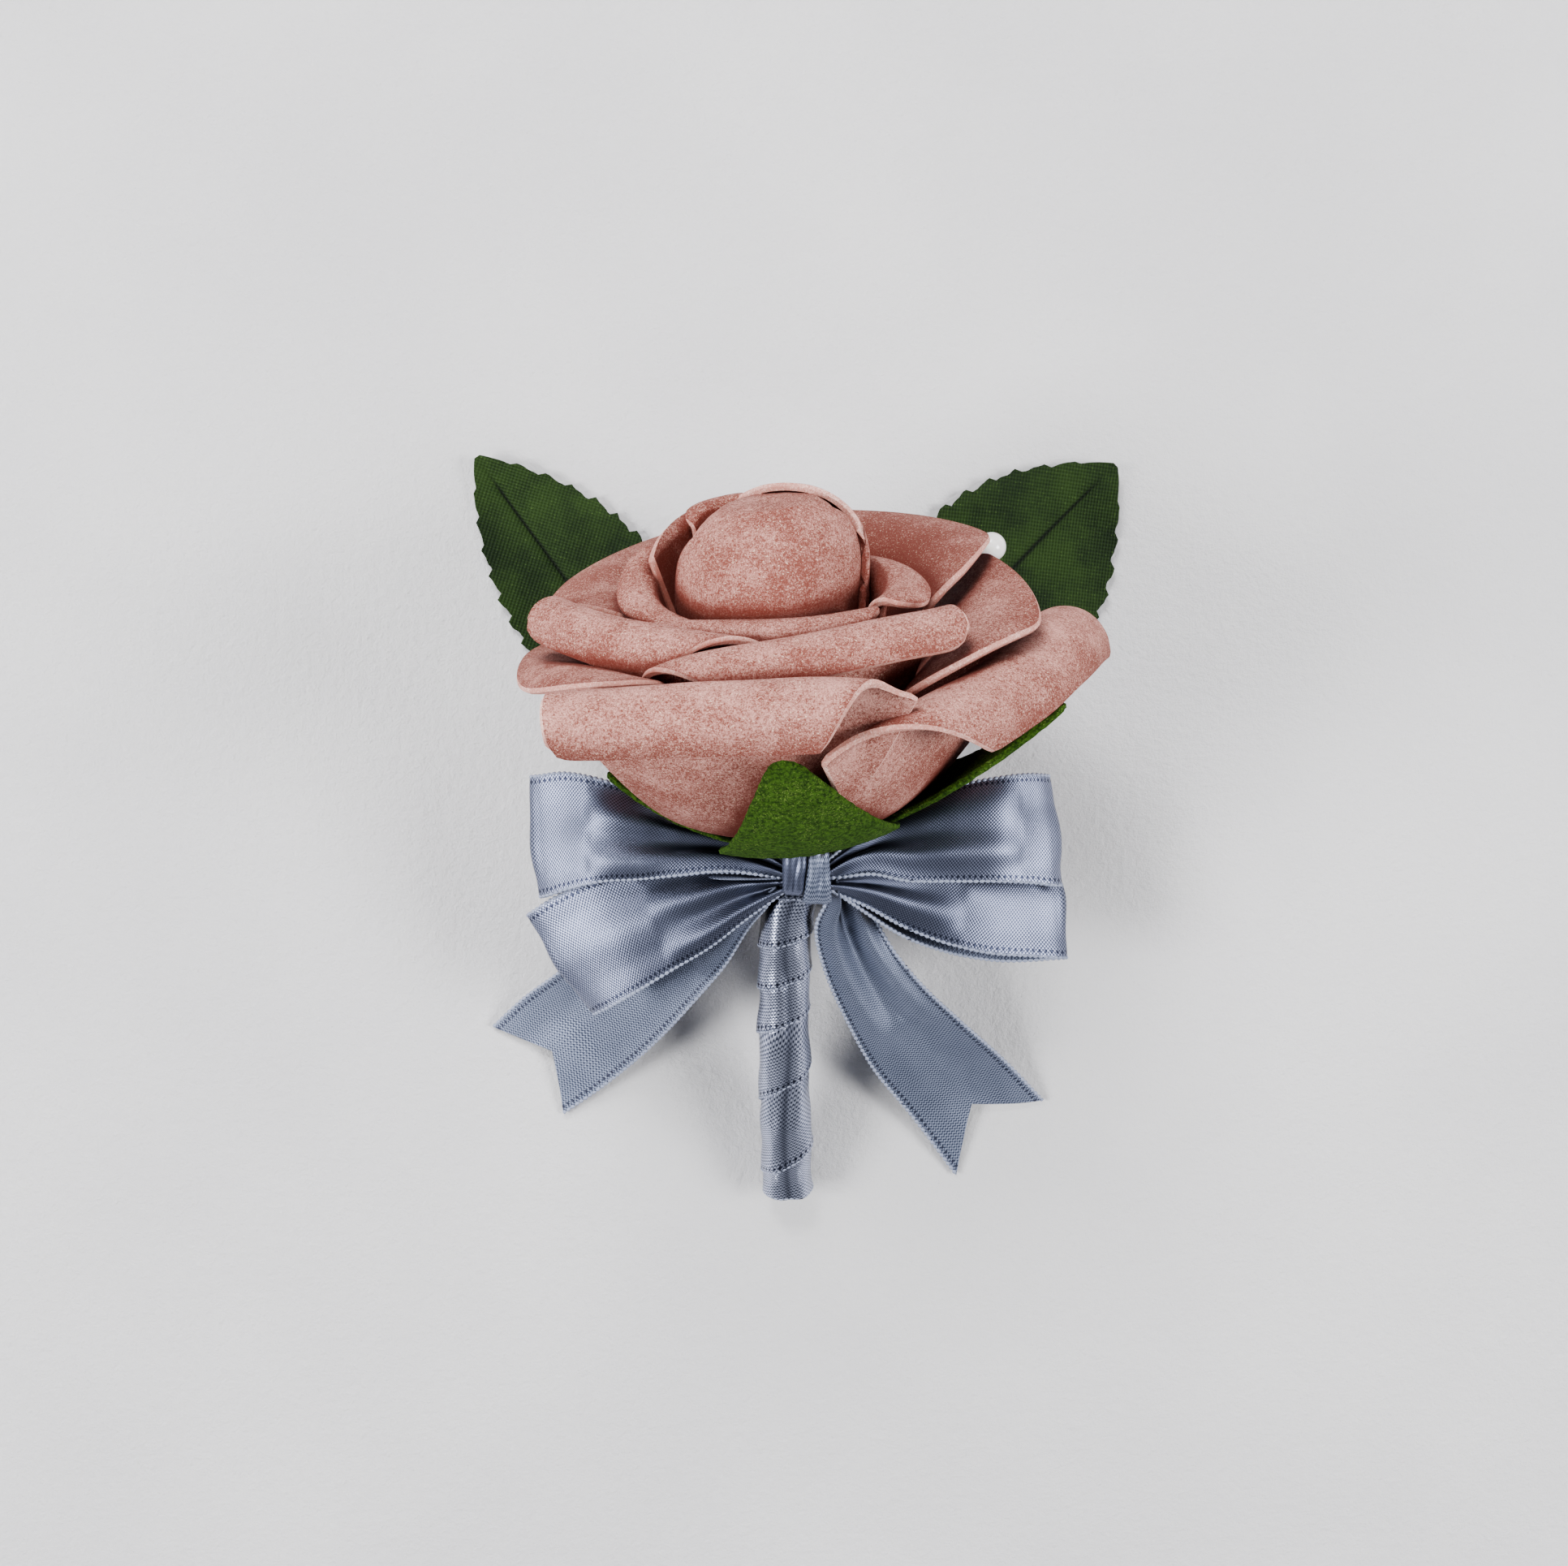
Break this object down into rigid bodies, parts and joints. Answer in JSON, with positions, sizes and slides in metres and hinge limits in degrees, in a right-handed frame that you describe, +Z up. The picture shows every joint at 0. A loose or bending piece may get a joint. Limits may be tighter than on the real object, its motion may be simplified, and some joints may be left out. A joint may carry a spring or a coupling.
{
  "type": "boutonniere",
  "caption": "Boutonniere of a foam rose in a flocked calyx, with silk leaves, a satin bow, a ribbon-wound stem and the pearl-headed pin that fixes it to a lapel.",
  "frame": {"origin": "on the table, under the middle of the object", "axes": "+Z up from the table that it lies on, the stem along -Y, the rose facing +Y and up, +X to the right as seen from above"},
  "size_m": [0.0921, 0.1053, 0.0677],
  "materials": {
    "foam": "speckled matt foam sheet",
    "flock": "short green flock",
    "silk_leaf": "coated woven fabric",
    "satin": "single-faced satin with picot edges",
    "green_wire": "plastic-coated wire",
    "pearl": "pearl lustre",
    "pin_steel": "drawn wire"
  },
  "bodies": {
    "root": {"rose_bloom": "foam", "calyx": "flock", "stem_wire": "green_wire", "stem_winding": "satin", "leaf_left": "silk_leaf", "leaf_right": "silk_leaf", "bow_ribbon": "satin", "bow_tie": "satin", "pin_shaft": "pin_steel", "pin_pearl": "pearl"}
  },
  "joints": []
}
